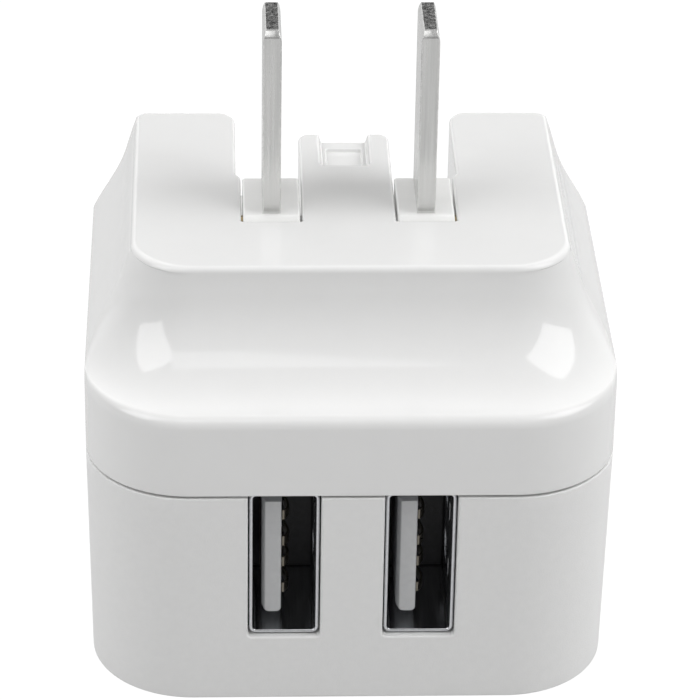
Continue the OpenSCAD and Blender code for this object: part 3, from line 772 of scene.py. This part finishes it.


# metals
# pin brass is much darker than the spring brass below: painted shade for the shaded gaps where the pin ends
# show beside the rotor
dress("trunnion_pin_left trunnion_pin_right", "brass", (0.40, 0.31, 0.16), rough=0.22, metal=1.0,
      tint=0.08, tint_scale=60, stretch=(1, 30, 30), bump=0.1, bump_scale=200, wear=0.6,
      wear_colour=(0.58, 0.47, 0.28), wear_r=0.0002)
dress("retainer_screws", "steel_screw", (0.45, 0.46, 0.48), rough=0.32, metal=1.0, tint=0.12,
      tint_scale=1500, bump=0.12, bump_scale=4000, wear=0.7, wear_colour=(0.75, 0.75, 0.76))
dress("detent_spring", "spring_steel", (0.52, 0.53, 0.54), rough=0.26, metal=1.0, tint=0.10,
      tint_scale=120, stretch=(1, 24, 24), bump=0.1, bump_scale=200, wear=0.6,
      wear_colour=(0.78, 0.78, 0.79))
dress("contact_spring_left contact_spring_right", "spring_brass", (0.74, 0.55, 0.24), rough=0.28,
      metal=1.0, tint=0.08, tint_scale=140, stretch=(24, 1, 24), bump=0.1, bump_scale=220,
      wear=0.6, wear_colour=(0.86, 0.70, 0.40))
dress("component_pins", "tinned_leg", (0.66, 0.67, 0.68), rough=0.3, metal=1.0, tint=0.08,
      tint_scale=2500, bump=0.15, bump_scale=5000)
dress("choke_winding", "copper_wire", (0.62, 0.25, 0.09), rough=0.25, metal=1.0, tint=0.2,
      tint_scale=80, stretch=(1, 1, 40), bump=0.6, bump_scale=70, wear=0.3)

# plastics, leads and sheet
dress("rotor_retainer", "inner_plastic", (0.72, 0.72, 0.68), rough=0.5, tint=0.03,
      tint_scale=900, bump=0.2, bump_scale=6000, wear=0.4)
dress("lead_live", "lead_dark", (0.03, 0.03, 0.03), rough=0.45, tint=0.2, tint_scale=1200,
      bump=0.15, bump_scale=4000)
dress("lead_neutral", "lead_pale", (0.68, 0.68, 0.67), rough=0.45, tint=0.04, tint_scale=1200,
      bump=0.15, bump_scale=4000)
dress("insulating_sheet", "sheet_cream", (0.80, 0.73, 0.55), rough=0.55, tint=0.05,
      tint_scale=700, stretch=(1, 8, 1), bump=0.25, bump_scale=3000, wear=0.3)

# circuit board
dress("main_pcb", "board_green", (0.025, 0.15, 0.06), rough=0.28, tint=0.10, tint_scale=2200,
      bump=0.25, bump_scale=5200, coat=0.4, coat_rough=0.15, second=(0.03, 0.19, 0.08),
      second_scale=420, second_cut=(0.48, 0.52), wear=0.5, wear_colour=(0.45, 0.42, 0.25))

# transformer and choke
dress("transformer_core choke_core", "ferrite", (0.045, 0.045, 0.05), rough=0.55, tint=0.25,
      tint_scale=3000, bump=0.35, bump_scale=6500, wear=0.6, wear_colour=(0.13, 0.13, 0.135))
dress("transformer_bobbin", "bobbin_black", (0.02, 0.02, 0.024), rough=0.42, tint=0.2,
      tint_scale=1500, bump=0.15, bump_scale=6000, wear=0.4, wear_colour=(0.07, 0.07, 0.075))
dress("transformer_winding", "winding_tape", (0.72, 0.42, 0.06), rough=0.3, tint=0.08,
      tint_scale=250, stretch=(1, 1, 10), bump=0.35, bump_scale=420, coat=0.3, wear=0.3)

# capacitors and fuse
dress("input_capacitors", "sleeve_blue", (0.025, 0.04, 0.12), rough=0.25, tint=0.12,
      tint_scale=500, bump=0.08, bump_scale=2500, coat=0.4, second=(0.03, 0.05, 0.15),
      second_scale=700, wear=0.5, wear_colour=(0.5, 0.5, 0.52))
dress("output_capacitors", "sleeve_violet", (0.05, 0.03, 0.10), rough=0.25, tint=0.12,
      tint_scale=500, bump=0.08, bump_scale=2500, coat=0.4, wear=0.5,
      wear_colour=(0.5, 0.5, 0.52))
dress("x_capacitor", "film_yellow", (0.72, 0.46, 0.05), rough=0.32, tint=0.05, tint_scale=1200,
      bump=0.12, bump_scale=4000, wear=0.4)
dress("y_capacitor", "disc_blue", (0.04, 0.19, 0.40), rough=0.3, tint=0.1, tint_scale=900,
      bump=0.3, bump_scale=1600, coat=0.3)
dress("fuse", "fuse_brown", (0.20, 0.10, 0.05), rough=0.4, tint=0.15, tint_scale=1200,
      bump=0.15, bump_scale=4000, wear=0.5)

# chips
dress("bridge_rectifier controller_chip output_diode charging_chip", "chip_black",
      (0.018, 0.018, 0.02), rough=0.5, tint=0.25, tint_scale=3500, bump=0.3, bump_scale=9000,
      wear=0.5, wear_colour=(0.07, 0.07, 0.075))
dress("optocoupler", "chip_white", (0.70, 0.70, 0.68), rough=0.5, tint=0.04, tint_scale=3000,
      bump=0.25, bump_scale=9000, wear=0.4)
dress("chip_resistors", "resistor_dark", (0.02, 0.02, 0.024), rough=0.35, tint=0.2,
      tint_scale=3500, bump=0.2, bump_scale=9000, second=(0.5, 0.5, 0.52), second_scale=900,
      second_cut=(0.62, 0.64))

# ---------- camera at the photograph's viewing angle ----------

AZIMUTH, ELEVATION, ROLL = (math.radians(angle) for angle in (-2.47, 29.571, 1.006))
TARGET = Vector((0.000298, -0.0002, 0.022719))
DISTANCE = 0.308064

away = Vector((
    math.sin(AZIMUTH) * math.cos(ELEVATION), -math.cos(AZIMUTH) * math.cos(ELEVATION), math.sin(ELEVATION)))
eye = TARGET + away * DISTANCE
right = (-away).cross(Vector((0, 0, 1))).normalized()
up = right.cross(-away)
right, up = right * math.cos(ROLL) + up * math.sin(ROLL), up * math.cos(ROLL) - right * math.sin(ROLL)
lens = bpy.data.cameras.new("camera")
lens.sensor_width = 36
lens.lens = 188.79
lens.clip_start = 0.01
camera = bpy.data.objects.new("camera", lens)
axes = zip(right, up, away, eye)
camera.matrix_world = Matrix([*axes, (0, 0, 0, 1)])
scene.collection.objects.link(camera)
scene.camera = camera

# ---------- floor and light ----------


def rectangle(name, w, h):
    """Flat sheet facing up, w by h metres."""
    mesh = bpy.data.meshes.new(name)
    corners = [(-w / 2, -h / 2, 0), (w / 2, -h / 2, 0), (w / 2, h / 2, 0), (-w / 2, h / 2, 0)]
    mesh.from_pydata(corners, [], [(0, 1, 2, 3)])
    ob = bpy.data.objects.new(name, mesh)
    scene.collection.objects.link(ob)
    return ob


def ground(name, z, albedo, glow):
    """Plain sheet under the object."""
    ob = rectangle(name, 6, 6)
    ob.location.z = z
    mat = bpy.data.materials.new(name)
    mat.use_nodes = True
    Nodes(mat.node_tree).feed(mat.node_tree.nodes["Principled BSDF"], {
        "Base Color": (albedo, albedo, albedo, 1),
        "Roughness": 0.9,
        "Specular IOR Level": 0.0,
        "Emission Color": (1, 1, 1, 1),
        "Emission Strength": glow,
    })
    ob.data.materials.append(mat)
    return ob


# the floor lights the object from below, and a white sheet under it is all the camera sees
floor = ground("floor", -0.00003, 0.25, 0.435)
floor.visible_camera = False
sheet = ground("backdrop", -0.00006, 0.0, 1.05)
sheet.visible_diffuse = False
sheet.visible_glossy = False
sheet.visible_transmission = False
sheet.visible_shadow = False

world = bpy.data.worlds.new("studio")
scene.world = world
world.use_nodes = True
sky = Nodes(world.node_tree)
way = sky.add("TexCoord").outputs["Generated"]
overhead = sky.ramp(sky.dot(way, (0, 0, 1)), 0.3, 0.95, 0.34, 0.48, "SMOOTHSTEP")
far_side = sky.ramp(sky.dot(way, (0, 1, 0)), 0.0, 0.8, 0.0, 0.81, "SMOOTHSTEP")
sky.feed(world.node_tree.nodes["Background"], {
    "Color": (1, 1, 1, 1),
    "Strength": sky.maths("ADD", overhead, far_side),
})


def panel(name, azimuth, elevation, distance, size, strength, soft=0.04):
    """Light facing the object; azimuth 0 is the far side, 90 the right; soft is the faded rim."""
    a, e = math.radians(azimuth), math.radians(elevation)
    way = Vector((math.sin(a) * math.cos(e), math.cos(a) * math.cos(e), math.sin(e)))
    w, h = size
    ob = rectangle(name, w, h)
    ob.location = way * distance + Vector((0, 0, 0.02))
    ob.rotation_euler = (-way).to_track_quat("Z", "Y").to_euler()
    mat = bpy.data.materials.new(name)
    mat.use_nodes = True
    mat.node_tree.nodes.remove(mat.node_tree.nodes["Principled BSDF"])
    nodes = Nodes(mat.node_tree)
    split = nodes.add("SeparateXYZ", {0: nodes.add("TexCoord").outputs["Object"]})
    faded = []
    for axis, half, level in (("X", w / 2, 1.0), ("Y", h / 2, strength)):
        off_middle = nodes.maths("ABSOLUTE", split.outputs[axis])
        full = half * (1 - soft) - 0.001
        faded.append(nodes.ramp(off_middle, half, full, 0.0, level, "SMOOTHSTEP"))
    glow = nodes.add("Emission", {"Strength": nodes.maths("MULTIPLY", *faded)})
    nodes.feed(mat.node_tree.nodes["Material Output"], {"Surface": glow.outputs[0]})
    ob.data.materials.append(mat)
    ob.visible_camera = False
    return ob


# two wide lights do the lighting, and smaller panels within them are what the gloss reflects
for name, azimuth, elevation, size, strength in (
    ("softbox_left", -106, 50, (1.3, 1.1), 2.75),
    ("softbox_right", 102, 48, (1.2, 1.1), 3.95),
):
    panel(name, azimuth, elevation, 1.2, size, strength, 0.5).visible_glossy = False
for name, azimuth, elevation, size, strength in (
    ("window_left", -116, 46, (0.62, 0.86), 2.7),
    ("window_right", 106, 47, (0.75, 0.84), 2.9),
    ("window_top", -163, 66, (0.38, 0.36), 1.6),
):
    window = panel(name, azimuth, elevation, 1.1, size, strength)
    window.visible_diffuse = False
    window.visible_shadow = False
# dark card behind, seen only in reflections
card = panel("card_dark", 1, 24, 1.2, (0.75, 0.42), 0.0)
card.visible_diffuse = False
card.visible_shadow = False

scene.view_settings.view_transform = "Standard"
